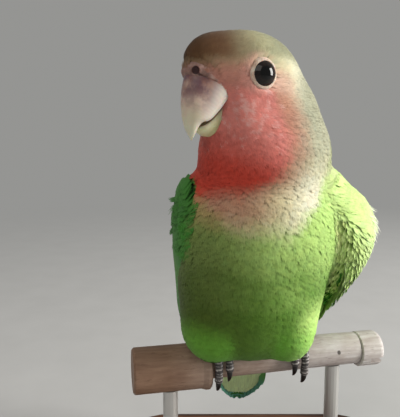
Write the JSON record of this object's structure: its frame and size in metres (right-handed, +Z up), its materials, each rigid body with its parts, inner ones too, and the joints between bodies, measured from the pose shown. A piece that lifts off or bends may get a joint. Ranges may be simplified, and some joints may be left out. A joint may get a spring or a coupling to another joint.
{
  "type": "peach-faced lovebird on a perch",
  "caption": "Life-size still model of a peach-faced lovebird, head turned to its right, gripping a cut length of perch held by a plain display stand.",
  "frame": {"origin": "centre of the stand base's underside, on the floor", "axes": "+Z up, -Y the way the bird's breast faces, +X to the bird's left"},
  "size_m": [0.1, 0.08, 0.1501],
  "materials": {
    "plumage": "soft overlapping feathers, bright green with a pale collar band and a blue rump",
    "face": "fine short feathers, salmon red bib under an olive brown crown",
    "bill": "smooth pinkish horn, paler and greener at the tip, with a faint sheen",
    "bill_pale": "smooth pale yellow horn",
    "eye": "wet, near black",
    "foot": "dark grey scaled skin with pale scale edges",
    "claw": "black horn with a dull sheen",
    "perch": "worn pale wood, slightly stained",
    "stand_wood": "dark stained, satin",
    "stand_metal": "brushed"
  },
  "bodies": {
    "root": {"bill_lower": "bill_pale", "bill_upper": "bill", "claw_left_inner_back": "claw", "claw_left_inner_front": "claw", "claw_left_outer_back": "claw", "claw_left_outer_front": "claw", "claw_right_inner_back": "claw", "claw_right_inner_front": "claw", "claw_right_outer_back": "claw", "claw_right_outer_front": "claw", "eye_left": "eye", "eye_right": "eye", "head": "face", "leg_left": "foot", "leg_right": "foot", "neck": "plumage", "perch_end": "perch", "perch_rod": "perch", "perch_thick": "perch", "stand_base": "stand_wood", "stand_rod_left": "stand_metal", "stand_rod_right": "stand_metal", "tail": "plumage", "thigh_left": "plumage", "thigh_right": "plumage", "toe_left_inner_back": "foot", "toe_left_inner_front": "foot", "toe_left_outer_back": "foot", "toe_left_outer_front": "foot", "toe_right_inner_back": "foot", "toe_right_inner_front": "foot", "toe_right_outer_back": "foot", "toe_right_outer_front": "foot", "trunk": "plumage", "wing_left": "plumage", "wing_right": "plumage"}
  },
  "joints": []
}
